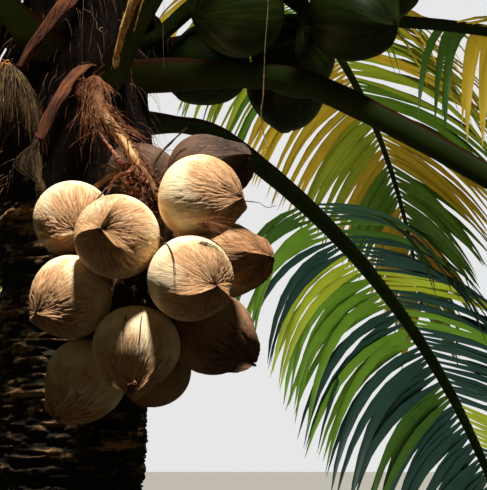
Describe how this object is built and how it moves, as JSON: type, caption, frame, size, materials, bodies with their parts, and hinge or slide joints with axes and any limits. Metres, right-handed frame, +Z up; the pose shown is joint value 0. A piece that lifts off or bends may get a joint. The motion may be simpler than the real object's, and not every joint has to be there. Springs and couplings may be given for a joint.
{
  "type": "coconut palm tree",
  "caption": "Coconut palm with a ringed, leaning trunk, arching feather fronds, a hanging bunch of ripe brown nuts, and green nuts among the leaf stalks.",
  "frame": {"origin": "middle of the flat cut under the trunk, at ground level", "axes": "+Z up, -Y towards a viewer who faces the ripe bunch, +X to that viewer's right"},
  "size_m": [6.8818, 6.5059, 6.8696],
  "materials": {
    "bark": "rough, ringed bark",
    "leaf": "satin leaf",
    "ripe_husk": "dry wrinkled husk",
    "green_husk": "smooth waxy husk",
    "dry_stalk": "dry fibrous stalk",
    "fibre": "loose dry fibre"
  },
  "bodies": {
    "root": {"bunch_stalk": "dry_stalk", "dry_stalk_high": "dry_stalk", "dry_stalk_low": "dry_stalk", "dry_strap": "dry_stalk", "fibre_hank_high": "fibre", "fibre_hank_low": "fibre", "frond_01": "leaf", "frond_02": "leaf", "frond_03": "leaf", "frond_04": "leaf", "frond_05": "leaf", "frond_06": "leaf", "frond_07": "leaf", "frond_08": "leaf", "frond_09": "leaf", "frond_10": "leaf", "frond_11": "leaf", "frond_12": "leaf", "frond_13": "leaf", "frond_14": "leaf", "frond_15": "leaf", "frond_16": "leaf", "frond_17": "leaf", "frond_18": "leaf", "frond_19": "leaf", "frond_20": "leaf", "frond_21": "leaf", "frond_22": "leaf", "frond_23": "leaf", "green_bunch_back": "green_husk", "green_bunch_right": "green_husk", "nut_back_left": "ripe_husk", "nut_back_right": "ripe_husk", "nut_bottom": "ripe_husk", "nut_far_right": "ripe_husk", "nut_front_left": "ripe_husk", "nut_front_low": "ripe_husk", "nut_front_right": "ripe_husk", "nut_left": "ripe_husk", "nut_lower_left": "ripe_husk", "nut_lower_right": "ripe_husk", "nut_top_back": "ripe_husk", "nut_top_right": "ripe_husk", "nut_upper_left": "ripe_husk", "nut_upper_right": "ripe_husk", "spear": "leaf", "trunk": "bark"}
  },
  "joints": []
}
